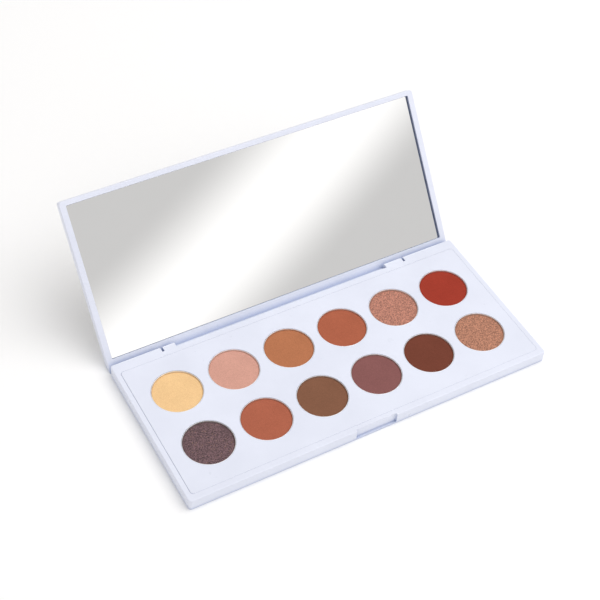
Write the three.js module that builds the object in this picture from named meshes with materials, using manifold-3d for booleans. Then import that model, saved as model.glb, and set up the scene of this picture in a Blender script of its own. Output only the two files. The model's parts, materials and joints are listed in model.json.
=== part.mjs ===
// Eyeshadow palette: a slim white plastic case with twelve round pans in two rows and a lid
// that carries a mirror inside and a printed card under a clear cover outside.
//
// Units are millimetres, +Z is up, +X runs along the length and +Y points to the hinge.
// The origin is the centre of the base's bottom face. The lid stands open against its stop.

import * as THREE from 'three';
import { mergeVertices } from 'three/addons/utils/BufferGeometryUtils.js';
import Module from 'manifold-3d';

const wasm = await Module();
wasm.setup();

// ---------------------------------------------------------------- driving dimensions

const LENGTH = 203.5;
const DEPTH = 90.8;
const BASE_HEIGHT = 6.9;
const LID_THICKNESS = 5;
const PARTING_GAP = 0.3;
const CORNER_RADIUS = 1.6;
const EDGE_ROUNDING = 0.6;

const OPEN_ANGLE = THREE.MathUtils.degToRad(126.5);
const HINGE_HEIGHT = 3.5;
const HINGE_INSET = 2;

const FLOOR_THICKNESS = 1.2;
const SIDE_RIM = 2.95;
const FRONT_RIM = 3.5;
const REAR_RIM = 6.4;
const LEDGE_WIDTH = 1.6;

const COLUMNS = 6;
const ROWS = 2;
const COLUMN_PITCH = 31.4;
const ROW_PITCH = 34.64;
const PAN_GRID_Y = -1.3;
const POWDER_RADIUS = 12.75;
const POWDER_TOP = 6;
const POWDER_EDGE = 0.5;
const POWDER_EDGE_DROP = 0.18;
const PAN_WALL = 0.25;
const PAN_FLOOR = 0.3;
const PAN_RIM_HEIGHT = 0.75;
const PAN_HOLE_CLEARANCE = 0.1;
const GLUE_THICKNESS = 0.3;
const GLUE_RADIUS = 7;
const FIT_GAP = 0.05;

const INSERT_THICKNESS = 1.5;
const INSERT_SEAM = 0.05;
const INSERT_LEFT_SEAM = 0.15;

const POST_RADIUS = 3;
const POST_SEGMENTS = 12;

const THUMB_WIDTH = 23;
const THUMB_DEPTH = 1.2;
const THUMB_LIP = 1.1;

// The lid's hinge barrel turns between two ears of the base, and sits a little to the left.
// Each ear has a small slot at its outer end, where the bore for the pin comes out.
const HINGE_ENDS = [
  { pin: 'hinge_pin_left', side: -1, barrelEnd: 66, slotStart: 73.1 },
  { pin: 'hinge_pin_right', side: 1, barrelEnd: 58.5, slotStart: 69.6 },
];

// Reaches in front of and behind the hinge axis.
const BARREL_RADIUS = 1.5;
const NECK_FRONT = 0.95;
const NECK_REAR = 1.3;
const SWEEP_CLEARANCE = 0.15;

// The notch in the base that the barrel lies in, with a thin lip over its front.
const EAR_GAP = 0.4;
const NOTCH_REACH = 2;
const NOTCH_WALL = 3.7;
const LIP_THICKNESS = 1.1;
const LIP_SETBACK = 1.15;

// Two steel pins. The barrel's bores are longer than the pins, so that a pin slides right in
// while the lid is put in place, and is then drawn out into its ear.
const PIN_RADIUS = 0.7;
const PIN_CLEARANCE = 0.1;
const PIN_GRIP = 6;
const PIN_INSET = 0.4;
const BORE_END_ROOM = 0.5;
const PIN_SLOT_WIDTH = 1.2;
const PIN_SLOT_REACH = 1.3;
const PIN_SLOT_DROP = 1;

// The lid's rear end, whose back slopes so that the open lid clears the table.
const TABLE_CLEARANCE = 0.15;
const SPINE_DEPTH = 8;
const SPINE_OVERLAP = 4;
const SPINE_SHOULDER = 1.2;
const SPINE_CURVE = 1.6;

const MIRROR_HALF_WIDTH = 98.5;
const MIRROR_FRONT = 2.4;
const MIRROR_REAR_Y = 37.9;
const MIRROR_RECESS = 0.9;
const MIRROR_THICKNESS = 1.2;
const MIRROR_FRONT_GAP = 0.15;
const MIRROR_REAR_GAP = 0.1;
const MIRROR_LEFT_GAP = 0.15;
const MIRROR_RIGHT_GAP = 1;
const TAPE_THICKNESS = 0.3;
const TAPE_WIDTH = 12;
const TAPE_SIDE_INSET = 12;
const TAPE_END_INSET = 10;

const CARD_SIDE_FRAME = 5;
const CARD_END_FRAME = 6;
const CARD_THICKNESS = 0.35;
const WINDOW_THICKNESS = 0.6;
const WINDOW_RECESS = 0.15;
const SHEET_GAP = 0.2;
const CARD_POCKET_CORNER = 1;

const ROUND_SEGMENTS = 24;
const ARC_SEGMENTS = 5;

// How far a cutter runs past the face it cuts, and how far joined shapes run into each other.
const OVERRUN = 1;
const JOIN = 0.1;

// ---------------------------------------------------------------- places worked out from them

const HALF_LENGTH = LENGTH / 2;
const FRONT_Y = -DEPTH / 2;
const REAR_Y = DEPTH / 2;
const HINGE_Y = REAR_Y - HINGE_INSET;
const BARREL_LEFT_X = -HINGE_ENDS[0].barrelEnd;
const BARREL_RIGHT_X = HINGE_ENDS[1].barrelEnd;
const NOTCH_FRONT_Y = HINGE_Y - NOTCH_REACH;
const LID_BOTTOM = BASE_HEIGHT + PARTING_GAP;
const LID_TOP = LID_BOTTOM + LID_THICKNESS;
const INSERT_FRONT_Y = FRONT_Y + FRONT_RIM;
const INSERT_REAR_Y = REAR_Y - REAR_RIM;
const INSERT_HALF_LENGTH = HALF_LENGTH - SIDE_RIM;
const LEDGE_TOP = BASE_HEIGHT - INSERT_THICKNESS - FIT_GAP;
const PAN_BOTTOM = FLOOR_THICKNESS + GLUE_THICKNESS + 2 * FIT_GAP;
const PAN_OUTER_RADIUS = POWDER_RADIUS + FIT_GAP + PAN_WALL;
const PAN_TOP = POWDER_TOP + PAN_RIM_HEIGHT;
const MIRROR_FRONT_Y = FRONT_Y + MIRROR_FRONT;
const CARD_HALF_WIDTH = HALF_LENGTH - CARD_SIDE_FRAME;
const CARD_FRONT_Y = FRONT_Y + CARD_END_FRAME;
const CARD_REAR_Y = REAR_Y - CARD_END_FRAME - HINGE_INSET;
const CARD_POCKET_DEPTH = WINDOW_RECESS + WINDOW_THICKNESS + CARD_THICKNESS + 2 * FIT_GAP;
const MIRROR_POCKET_DEPTH = MIRROR_RECESS + MIRROR_THICKNESS + TAPE_THICKNESS + 2 * FIT_GAP;

// ---------------------------------------------------------------- materials

const plastic = (color) => new THREE.MeshStandardMaterial({ color, roughness: 0.35, metalness: 0 });
const whitePlastic = plastic(0xe6e9f3);
const panMetal = new THREE.MeshStandardMaterial({ color: 0xc9cacc, roughness: 0.3, metalness: 1 });
const pinSteel = new THREE.MeshStandardMaterial({ color: 0xb8babd, roughness: 0.25, metalness: 1 });
const mirrorGlass = new THREE.MeshStandardMaterial({ color: 0xd6d7d8, roughness: 0.03, metalness: 1 });
const foamTape = new THREE.MeshStandardMaterial({ color: 0xf2f2ee, roughness: 0.9, metalness: 0 });
const glue = new THREE.MeshStandardMaterial({ color: 0xe8e4d6, roughness: 0.5, metalness: 0 });
const printedCard = new THREE.MeshStandardMaterial({ color: 0xcfc6bd, roughness: 0.6, metalness: 0 });
const clearPlastic = new THREE.MeshStandardMaterial({
  color: 0xffffff, roughness: 0.08, metalness: 0, transparent: true, opacity: 0.25,
});

// Back row from left to right, then front row from left to right.
const SHADES = [
  { color: 0xfdcb95, roughness: 0.85 },
  { color: 0xd6a191, roughness: 0.85 },
  { color: 0xb87754, roughness: 0.85 },
  { color: 0xaf634a, roughness: 0.85 },
  { color: 0xba7f6c, roughness: 0.45 },
  { color: 0xa23d2f, roughness: 0.85 },
  { color: 0x6e5257, roughness: 0.45 },
  { color: 0xb0654e, roughness: 0.85 },
  { color: 0x855c47, roughness: 0.85 },
  { color: 0x8a5b59, roughness: 0.85 },
  { color: 0x764234, roughness: 0.85 },
  { color: 0xb57e65, roughness: 0.45 },
];
const shadeMaterial = (shade) => new THREE.MeshStandardMaterial({ ...shade, metalness: 0 });

// ---------------------------------------------------------------- solids

// Turns a closed three.js geometry into a solid that can be joined and cut.
function solid(geometry) {
  const bare = geometry.index ? geometry.toNonIndexed() : geometry.clone();
  bare.deleteAttribute('normal');
  bare.deleteAttribute('uv');
  const merged = mergeVertices(bare, 1e-4);
  return new wasm.Manifold(new wasm.Mesh({
    numProp: 3,
    vertProperties: new Float32Array(merged.attributes.position.array),
    triVerts: new Uint32Array(merged.index.array),
  }));
}

// Turns a solid back into a three.js geometry.
function geometryOf(body) {
  const mesh = body.getMesh();
  const geometry = new THREE.BufferGeometry();
  geometry.setAttribute('position', new THREE.BufferAttribute(mesh.vertProperties, mesh.numProp));
  geometry.setIndex(new THREE.BufferAttribute(mesh.triVerts, 1));
  return geometry;
}

// A block given by its lowest and highest corners.
function block(low, high) {
  const size = high.map((value, axis) => value - low[axis]);
  const centre = high.map((value, axis) => (value + low[axis]) / 2);
  return new THREE.BoxGeometry(...size).translate(...centre);
}

// The outline of a rectangle with round corners.
function roundedRectangle(halfLength, frontY, rearY, radius) {
  const outline = new THREE.Shape();
  outline.absarc(halfLength - radius, rearY - radius, radius, 0, Math.PI / 2);
  outline.absarc(-halfLength + radius, rearY - radius, radius, Math.PI / 2, Math.PI);
  outline.absarc(-halfLength + radius, frontY + radius, radius, Math.PI, 1.5 * Math.PI);
  outline.absarc(halfLength - radius, frontY + radius, radius, 1.5 * Math.PI, 2 * Math.PI);
  outline.closePath();
  return outline;
}

// A plate between two heights; rounding takes the sharpness off its top and bottom edges.
function plate(outline, bottom, top, rounding = 0) {
  const geometry = new THREE.ExtrudeGeometry(outline, {
    depth: top - bottom - 2 * rounding,
    curveSegments: ARC_SEGMENTS,
    bevelEnabled: rounding > 0,
    bevelThickness: rounding,
    bevelSize: rounding,
    bevelOffset: -rounding,
    bevelSegments: 2,
  });
  return geometry.translate(0, 0, bottom + rounding);
}

// An outline drawn in the Y-Z plane, extruded along X between two places.
function barAlongX(outline, startX, endX) {
  const geometry = new THREE.ExtrudeGeometry(outline, {
    depth: endX - startX, curveSegments: ARC_SEGMENTS, bevelEnabled: false,
  });
  geometry.rotateX(Math.PI / 2);
  geometry.rotateZ(Math.PI / 2);
  return geometry.translate(startX, 0, 0);
}

// A round rod on the hinge axis between two places.
function rodOnHinge(radius, startX, endX) {
  const geometry = new THREE.CylinderGeometry(radius, radius, endX - startX, ROUND_SEGMENTS);
  geometry.rotateZ(Math.PI / 2);
  return geometry.translate((startX + endX) / 2, HINGE_Y, HINGE_HEIGHT);
}

// A turned piece; its profile runs from the axis round and back to the axis.
function turned(profile) {
  const points = profile.map(([radius, height]) => new THREE.Vector2(radius, height));
  return new THREE.LatheGeometry(points, ROUND_SEGMENTS).rotateX(Math.PI / 2);
}

function panCentre(row, column) {
  const x = (column - (COLUMNS - 1) / 2) * COLUMN_PITCH;
  const y = PAN_GRID_Y + (0.5 - row) * ROW_PITCH;
  return [x, y];
}

function panCentres() {
  const centres = [];
  for (let row = 0; row < ROWS; row += 1) {
    for (let column = 0; column < COLUMNS; column += 1) centres.push(panCentre(row, column));
  }
  return centres;
}

// ---------------------------------------------------------------- base

// Two places on one side of the middle, in rising order.
function sidePair(side, inner, outer) {
  return side > 0 ? [inner, outer] : [-outer, -inner];
}

// How far from the middle a pin starts and ends.
function pinReach(end) {
  return [end.barrelEnd - PIN_GRIP, end.slotStart - PIN_INSET];
}

// Trims the upper rear edge to the circle about the hinge that the lid's inner face sweeps.
function rearEdgeTrim() {
  const radius = LID_BOTTOM - HINGE_HEIGHT - SWEEP_CLEARANCE;
  const start = Math.asin((BASE_HEIGHT - HINGE_HEIGHT) / radius);
  const end = Math.acos(HINGE_INSET / radius);
  const outline = new THREE.Shape();
  outline.moveTo(REAR_Y + OVERRUN, BASE_HEIGHT + OVERRUN);
  outline.lineTo(HINGE_Y + radius * Math.cos(start), BASE_HEIGHT + OVERRUN);
  outline.absarc(HINGE_Y, HINGE_HEIGHT, radius, start, end, true);
  outline.lineTo(REAR_Y + OVERRUN, HINGE_HEIGHT + radius * Math.sin(end));
  outline.closePath();
  return barAlongX(outline, -HALF_LENGTH - OVERRUN, HALF_LENGTH + OVERRUN);
}

// The pocket that the insert lies in, with the seam round it. The seam is widest at the left.
function insertPocket() {
  const shift = (INSERT_SEAM - INSERT_LEFT_SEAM) / 2;
  const halfLength = INSERT_HALF_LENGTH + (INSERT_SEAM + INSERT_LEFT_SEAM) / 2;
  const outline = roundedRectangle(
    halfLength, INSERT_FRONT_Y - INSERT_SEAM, INSERT_REAR_Y + INSERT_SEAM, CORNER_RADIUS,
  );
  return plate(outline, LEDGE_TOP, BASE_HEIGHT + OVERRUN).translate(shift, 0, 0);
}

// The hollow under the insert, with a ledge left all round for the insert to rest on.
function trayHollow() {
  const outline = roundedRectangle(
    INSERT_HALF_LENGTH - LEDGE_WIDTH, INSERT_FRONT_Y + LEDGE_WIDTH, NOTCH_FRONT_Y - NOTCH_WALL, CORNER_RADIUS,
  );
  return plate(outline, FLOOR_THICKNESS, BASE_HEIGHT);
}

// A post that holds the insert up, between two columns of pans.
function post(column) {
  const x = (column - (COLUMNS - 2) / 2) * COLUMN_PITCH;
  const bottom = FLOOR_THICKNESS / 2;
  const height = LEDGE_TOP - bottom;
  const geometry = new THREE.CylinderGeometry(POST_RADIUS, POST_RADIUS, height, POST_SEGMENTS);
  return geometry.rotateX(Math.PI / 2).translate(x, PAN_GRID_Y, bottom + height / 2);
}

// The notch is open below and behind, between the two ears, and a thin lip covers its front.
function notchCutters() {
  const left = BARREL_LEFT_X - EAR_GAP;
  const right = BARREL_RIGHT_X + EAR_GAP;
  const rear = REAR_Y + OVERRUN;
  return [
    block([left, NOTCH_FRONT_Y, -OVERRUN], [right, rear, BASE_HEIGHT - LIP_THICKNESS]),
    block([left, HINGE_Y - LIP_SETBACK, -OVERRUN], [right, rear, BASE_HEIGHT + OVERRUN]),
  ];
}

// At one end of the hinge, the bore through the ear and the slot where it comes out.
function pinCutters(end) {
  const slotEnds = sidePair(end.side, end.slotStart, end.slotStart + PIN_SLOT_WIDTH);
  const boreEnds = sidePair(end.side, end.barrelEnd, end.slotStart + PIN_SLOT_WIDTH / 2);
  return [
    block(
      [slotEnds[0], HINGE_Y - PIN_SLOT_REACH, HINGE_HEIGHT - PIN_SLOT_DROP],
      [slotEnds[1], REAR_Y + OVERRUN, BASE_HEIGHT + OVERRUN],
    ),
    rodOnHinge(PIN_RADIUS + FIT_GAP, ...boreEnds),
  ];
}

// The case bottom: a tray with a rim, a ledge for the insert, posts between the pans,
// a finger recess at the front and a notch at the rear for the lid's hinge.
function baseTray() {
  const outer = roundedRectangle(HALF_LENGTH, FRONT_Y, REAR_Y, CORNER_RADIUS);
  const thumb = block(
    [-THUMB_WIDTH / 2, FRONT_Y - OVERRUN, THUMB_LIP],
    [THUMB_WIDTH / 2, FRONT_Y + THUMB_DEPTH, BASE_HEIGHT + OVERRUN],
  );
  let body = solid(plate(outer, 0, BASE_HEIGHT, EDGE_ROUNDING));
  body = body.subtract(solid(insertPocket())).subtract(solid(trayHollow()));
  for (let column = 0; column < COLUMNS - 1; column += 1) body = body.add(solid(post(column)));
  const cutters = [rearEdgeTrim(), thumb, ...notchCutters(), ...HINGE_ENDS.flatMap(pinCutters)];
  for (const cutter of cutters) body = body.subtract(solid(cutter));
  return geometryOf(body);
}

// The insert: a flat plate with a hole for each pan, set flush in the base.
function insertPlate() {
  const outline = roundedRectangle(INSERT_HALF_LENGTH, INSERT_FRONT_Y, INSERT_REAR_Y, CORNER_RADIUS);
  const radius = PAN_OUTER_RADIUS + PAN_HOLE_CLEARANCE;
  for (const [x, y] of panCentres()) {
    const hole = new THREE.Path();
    hole.absarc(x, y, radius, 0, 2 * Math.PI, true);
    outline.holes.push(hole);
  }
  const geometry = new THREE.ExtrudeGeometry(outline, {
    depth: INSERT_THICKNESS, curveSegments: ROUND_SEGMENTS, bevelEnabled: false,
  });
  return geometry.translate(0, 0, BASE_HEIGHT - INSERT_THICKNESS);
}

// A shallow drawn-metal cup.
function pan() {
  const inner = PAN_OUTER_RADIUS - PAN_WALL;
  return turned([
    [0, PAN_BOTTOM],
    [PAN_OUTER_RADIUS - PAN_WALL, PAN_BOTTOM],
    [PAN_OUTER_RADIUS, PAN_BOTTOM + PAN_WALL],
    [PAN_OUTER_RADIUS, PAN_TOP],
    [inner, PAN_TOP],
    [inner, PAN_BOTTOM + PAN_FLOOR],
    [0, PAN_BOTTOM + PAN_FLOOR],
  ]);
}

// The pressed powder: a disc that slopes down a little at its edge.
function powder() {
  const bottom = PAN_BOTTOM + PAN_FLOOR + FIT_GAP;
  return turned([
    [0, bottom],
    [POWDER_RADIUS, bottom],
    [POWDER_RADIUS, POWDER_TOP - POWDER_EDGE_DROP],
    [POWDER_RADIUS - POWDER_EDGE, POWDER_TOP],
    [0, POWDER_TOP],
  ]);
}

function glueDot() {
  const bottom = FLOOR_THICKNESS + FIT_GAP;
  return turned([
    [0, bottom],
    [GLUE_RADIUS, bottom],
    [GLUE_RADIUS, bottom + GLUE_THICKNESS],
    [0, bottom + GLUE_THICKNESS],
  ]);
}

// ---------------------------------------------------------------- lid, drawn closed

// The section of the lid's rear end. Its sloping back lies level just above the table when the
// lid is open.
function spineOutline() {
  const rise = HINGE_HEIGHT - TABLE_CLEARANCE;
  const slopeY = (height) =>
    HINGE_Y + (rise + Math.cos(OPEN_ANGLE) * (height - HINGE_HEIGHT)) / Math.sin(OPEN_ANGLE);
  const frontY = HINGE_Y - SPINE_DEPTH - SPINE_OVERLAP;
  const shoulder = LID_TOP - SPINE_SHOULDER;
  const outline = new THREE.Shape();
  outline.moveTo(frontY, LID_BOTTOM);
  outline.lineTo(slopeY(LID_BOTTOM), LID_BOTTOM);
  outline.lineTo(slopeY(shoulder), shoulder);
  outline.quadraticCurveTo(slopeY(LID_TOP), LID_TOP, slopeY(LID_TOP) - SPINE_CURVE, LID_TOP);
  outline.lineTo(frontY, LID_TOP);
  outline.closePath();
  return outline;
}

// The lid's plate with its sloping rear end.
function lidPlate() {
  const outer = roundedRectangle(HALF_LENGTH, FRONT_Y, REAR_Y, CORNER_RADIUS);
  const longer = roundedRectangle(HALF_LENGTH, FRONT_Y, REAR_Y + 2 * OVERRUN, CORNER_RADIUS);
  const behind = block(
    [-HALF_LENGTH - OVERRUN, HINGE_Y - SPINE_DEPTH, LID_BOTTOM - OVERRUN],
    [HALF_LENGTH + OVERRUN, REAR_Y + OVERRUN, LID_TOP + OVERRUN],
  );
  const spine = solid(barAlongX(spineOutline(), -HALF_LENGTH, HALF_LENGTH));
  const roundedSpine = spine.intersect(solid(plate(longer, LID_BOTTOM, LID_TOP, EDGE_ROUNDING)));
  return solid(plate(outer, LID_BOTTOM, LID_TOP, EDGE_ROUNDING)).subtract(solid(behind)).add(roundedSpine);
}

// Adds the bored barrel, with a neck that joins it to the lid.
function addHinge(lid) {
  const barrel = rodOnHinge(BARREL_RADIUS, BARREL_LEFT_X, BARREL_RIGHT_X);
  const neck = block(
    [BARREL_LEFT_X, HINGE_Y - NECK_FRONT, HINGE_HEIGHT],
    [BARREL_RIGHT_X, HINGE_Y + NECK_REAR, LID_BOTTOM + JOIN],
  );
  let body = lid.add(solid(barrel)).add(solid(neck));
  for (const end of HINGE_ENDS) {
    const [pinStart, pinEnd] = pinReach(end);
    const boreStart = end.barrelEnd - (pinEnd - pinStart) - BORE_END_ROOM;
    const boreEnds = sidePair(end.side, boreStart, end.barrelEnd + OVERRUN);
    body = body.subtract(solid(rodOnHinge(PIN_RADIUS + PIN_CLEARANCE, ...boreEnds)));
  }
  return body;
}

// The lid shell, with a pocket for the mirror inside and one for the card outside.
function lidShell() {
  const mirrorPocket = block(
    [-MIRROR_HALF_WIDTH, MIRROR_FRONT_Y, LID_BOTTOM - OVERRUN],
    [MIRROR_HALF_WIDTH, MIRROR_REAR_Y, LID_BOTTOM + MIRROR_POCKET_DEPTH],
  );
  const cardOutline = roundedRectangle(CARD_HALF_WIDTH, CARD_FRONT_Y, CARD_REAR_Y, CARD_POCKET_CORNER);
  const cardPocket = plate(cardOutline, LID_TOP - CARD_POCKET_DEPTH, LID_TOP + OVERRUN);
  return geometryOf(addHinge(lidPlate()).subtract(solid(mirrorPocket)).subtract(solid(cardPocket)));
}

// The mirror, set a little to the left in its pocket.
function mirror() {
  const face = LID_BOTTOM + MIRROR_RECESS;
  return block(
    [-MIRROR_HALF_WIDTH + MIRROR_LEFT_GAP, MIRROR_FRONT_Y + MIRROR_FRONT_GAP, face],
    [MIRROR_HALF_WIDTH - MIRROR_RIGHT_GAP, MIRROR_REAR_Y - MIRROR_REAR_GAP, face + MIRROR_THICKNESS],
  );
}

// Double-sided tape: two strips joined by a bar across the middle.
function mirrorTape() {
  const bottom = LID_BOTTOM + MIRROR_RECESS + MIRROR_THICKNESS + FIT_GAP;
  const top = bottom + TAPE_THICKNESS;
  const halfLength = MIRROR_HALF_WIDTH - TAPE_SIDE_INSET;
  const front = MIRROR_FRONT_Y + TAPE_END_INSET;
  const rear = MIRROR_REAR_Y - TAPE_END_INSET;
  const frontStrip = solid(block([-halfLength, front, bottom], [halfLength, front + TAPE_WIDTH, top]));
  const rearStrip = solid(block([-halfLength, rear - TAPE_WIDTH, bottom], [halfLength, rear, top]));
  const crossBar = solid(block([-TAPE_WIDTH / 2, front, bottom], [TAPE_WIDTH / 2, rear, top]));
  return geometryOf(frontStrip.add(rearStrip).add(crossBar));
}

function sheetInCardPocket(bottom, thickness) {
  const outline = roundedRectangle(
    CARD_HALF_WIDTH - SHEET_GAP,
    CARD_FRONT_Y + SHEET_GAP,
    CARD_REAR_Y - SHEET_GAP,
    CARD_POCKET_CORNER - SHEET_GAP,
  );
  return plate(outline, bottom, bottom + thickness);
}

// ---------------------------------------------------------------- assembly

function part(name, geometry, material) {
  const mesh = new THREE.Mesh(geometry, material);
  mesh.name = name;
  return mesh;
}

function baseAssembly() {
  const group = new THREE.Group();
  group.add(part('base_tray', baseTray(), whitePlastic));
  group.add(part('insert_plate', insertPlate(), whitePlastic));
  panCentres().forEach(([x, y], index) => {
    const number = String(index + 1).padStart(2, '0');
    const well = new THREE.Group();
    well.position.set(x, y, 0);
    well.add(part(`glue_dot_${number}`, glueDot(), glue));
    well.add(part(`pan_${number}`, pan(), panMetal));
    well.add(part(`powder_${number}`, powder(), shadeMaterial(SHADES[index])));
    group.add(well);
  });
  for (const end of HINGE_ENDS) {
    const ends = sidePair(end.side, ...pinReach(end));
    group.add(part(end.pin, rodOnHinge(PIN_RADIUS, ...ends), pinSteel));
  }
  return group;
}

// The lid's pieces are drawn closed, and the whole lid is turned back about the hinge axis.
function lidAssembly() {
  const cardBottom = LID_TOP - CARD_POCKET_DEPTH + FIT_GAP;
  const windowBottom = cardBottom + CARD_THICKNESS + FIT_GAP;
  const pieces = [
    part('lid_shell', lidShell(), whitePlastic),
    part('mirror', mirror(), mirrorGlass),
    part('mirror_tape', mirrorTape(), foamTape),
    part('lid_card', sheetInCardPocket(cardBottom, CARD_THICKNESS), printedCard),
    part('lid_window', sheetInCardPocket(windowBottom, WINDOW_THICKNESS), clearPlastic),
  ];
  const hinge = new THREE.Group();
  hinge.position.set(0, HINGE_Y, HINGE_HEIGHT);
  hinge.rotation.x = -OPEN_ANGLE;
  for (const piece of pieces) {
    piece.position.set(0, -HINGE_Y, -HINGE_HEIGHT);
    hinge.add(piece);
  }
  return hinge;
}

const palette = new THREE.Group();
palette.add(baseAssembly(), lidAssembly());

export default palette;
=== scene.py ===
"""Eyeshadow palette: the looks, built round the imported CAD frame.

Lengths are metres in the frame's own axes: +X along the case, +Y towards the hinge, +Z up.
The lid's pieces are drawn closed and turned back about the hinge to where the frame has them.
"""

import json
import math

import bmesh
import bpy
from mathutils import Matrix, Vector, noise
from mathutils.geometry import tessellate_polygon


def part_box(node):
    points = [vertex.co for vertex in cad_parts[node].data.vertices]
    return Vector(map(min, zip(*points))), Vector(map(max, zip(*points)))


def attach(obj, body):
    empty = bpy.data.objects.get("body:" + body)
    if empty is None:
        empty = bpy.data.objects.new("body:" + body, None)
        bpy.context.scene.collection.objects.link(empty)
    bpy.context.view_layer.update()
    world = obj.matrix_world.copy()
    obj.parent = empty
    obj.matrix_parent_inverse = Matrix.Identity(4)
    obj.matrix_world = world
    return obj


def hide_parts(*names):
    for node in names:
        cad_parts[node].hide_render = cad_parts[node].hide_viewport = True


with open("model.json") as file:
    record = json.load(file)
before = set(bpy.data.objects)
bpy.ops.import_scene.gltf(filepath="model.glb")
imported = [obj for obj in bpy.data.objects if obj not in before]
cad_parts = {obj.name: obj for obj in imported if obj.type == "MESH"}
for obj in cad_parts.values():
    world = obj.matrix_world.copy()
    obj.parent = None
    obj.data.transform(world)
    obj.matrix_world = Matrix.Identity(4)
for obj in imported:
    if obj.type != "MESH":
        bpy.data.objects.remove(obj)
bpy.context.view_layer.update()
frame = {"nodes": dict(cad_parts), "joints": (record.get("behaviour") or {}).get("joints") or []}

MM = 0.001

# ------------------------------------------------------------------ sizes read from the frame

JOINT = frame["joints"][0]
HINGE = Vector(JOINT["pos_m"])
OPEN_ANGLE = math.radians(JOINT["range_deg"][1])
OPENING = Matrix.Translation(HINGE) @ Matrix.Rotation(-OPEN_ANGLE, 4, "X") @ Matrix.Translation(-HINGE)
CLOSING = OPENING.inverted()


def closed_box(node):
    """Lowest and highest corners of a lid node with the lid shut."""
    points = [CLOSING @ vertex.co for vertex in frame["nodes"][node].data.vertices]
    low = Vector(min(point[axis] for point in points) for axis in range(3))
    high = Vector(max(point[axis] for point in points) for axis in range(3))
    return low, high


BASE_LOW, BASE_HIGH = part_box("base_tray")
INSERT_LOW, INSERT_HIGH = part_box("insert_plate")
LID_LOW, LID_HIGH = closed_box("lid_shell")
MIRROR_LOW, MIRROR_HIGH = closed_box("mirror")
CARD_LOW, CARD_HIGH = closed_box("lid_card")
WINDOW_LOW, WINDOW_HIGH = closed_box("lid_window")
NUMBERS = [f"{number:02d}" for number in range(1, 13)]

# ------------------------------------------------------------------ sizes of the finer shapes

CORNER_RADIUS = 1.6 * MM
EDGE_ROUNDING = 0.6 * MM
TRAY_FOOT_ROUNDING = 0.5 * MM
LID_INNER_ROUNDING = 0.4 * MM
LID_OUTER_ROUNDING = 1.1 * MM
FINE_ROUNDING = 0.12 * MM
SEAM_ROUNDING = 0.07 * MM
SHEET_CORNER = 0.8 * MM
OVER = 1 * MM
FIT_GAP = 0.05 * MM

PARTING_GAP = 0.3 * MM
LID_BOTTOM = BASE_HIGH.z + PARTING_GAP
SEAM = 0.05 * MM
LEFT_SEAM = 0.15 * MM
FLOOR_THICKNESS = 1.2 * MM
LEDGE_WIDTH = 1.6 * MM
LEDGE_TOP = INSERT_LOW.z - FIT_GAP
POST_RADIUS = 3 * MM
HOLE_CLEARANCE = 0.1 * MM
HOLE_ROUNDING = 0.1 * MM

THUMB_HALF_WIDTH = 11.5 * MM
THUMB_DEPTH = 1.2 * MM
THUMB_LIP = 1.1 * MM
THUMB_CORNER = 0.5 * MM
THUMB_RUNOUT = 3 * MM

PIN_CLEARANCE = 0.1 * MM
PIN_FIT = 0.05 * MM
PIN_GRIP = 6 * MM
PIN_INSET = 0.4 * MM
BORE_END_ROOM = 0.5 * MM
PIN_SLOT_WIDTH = 1.2 * MM
PIN_SLOT_FRONT = HINGE.y - 1.3 * MM
PIN_SLOT_BOTTOM = HINGE.z - 1 * MM

BARREL_RADIUS = 1.5 * MM
EAR_GAP = 0.4 * MM
NECK_FRONT = HINGE.y - 0.95 * MM
NECK_REAR = HINGE.y + 1.3 * MM
NOTCH_FRONT = HINGE.y - 2 * MM
NOTCH_WALL = 3.7 * MM
LIP_REAR = HINGE.y - 1.15 * MM
LIP_THICKNESS = 1.1 * MM
SWEEP_CLEARANCE = 0.15 * MM
NECK_OVERLAP = 0.1 * MM

SPINE_FRONT = HINGE.y - 8 * MM
SPINE_SHOULDER = 1.2 * MM
SPINE_CURVE = 1.6 * MM
SPINE_ROOM = 3 * MM
TABLE_CLEARANCE = 0.15 * MM

MIRROR_SMALL_GAP = 0.15 * MM
MIRROR_REAR_GAP = 0.1 * MM
MIRROR_RIGHT_GAP = 1 * MM
TAPE_ROOM = 0.4 * MM
MIRROR_POCKET_TOP = MIRROR_HIGH.z + TAPE_ROOM
MIRROR_CORNER = 0.6 * MM
MIRROR_POCKET_CORNER = 0.5 * MM
SHEET_GAP = 0.2 * MM
CARD_POCKET_CORNER = 1 * MM
CARD_EDGE_ROUNDING = 0.03 * MM
WINDOW_EDGE_ROUNDING = 0.1 * MM
CARD_POCKET_BOTTOM = CARD_LOW.z - FIT_GAP


class HingeEnd:
    """Places at one end of the hinge, worked out from its pin, as distances from the middle."""

    def __init__(self, side):
        self.node = f"hinge_pin_{side}"
        self.low, self.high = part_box(self.node)
        self.sign = 1 if side == "right" else -1
        self.radius = (self.high.z - self.low.z) / 2
        inner, outer = sorted((abs(self.low.x), abs(self.high.x)))
        self.barrel_end = inner + PIN_GRIP
        self.bore_start = self.barrel_end - (outer - inner) - BORE_END_ROOM
        self.slot_start = outer + PIN_INSET
        self.slot_end = self.slot_start + PIN_SLOT_WIDTH

    def span(self, inner, outer):
        """Two distances from the middle as rising places along X."""
        return sorted((self.sign * inner, self.sign * outer))


LEFT_END = HingeEnd("left")
RIGHT_END = HingeEnd("right")
BARREL_LEFT = -LEFT_END.barrel_end
BARREL_RIGHT = RIGHT_END.barrel_end
NOTCH_LEFT = BARREL_LEFT - EAR_GAP
NOTCH_RIGHT = BARREL_RIGHT + EAR_GAP

ARC_STEPS = 8
ROUND_STEPS = 96
ROD_STEPS = 48
POST_STEPS = 32
GLUE_STEPS = 48
SMALL_ARC_STEPS = 6

# ------------------------------------------------------------------ meshes


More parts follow.
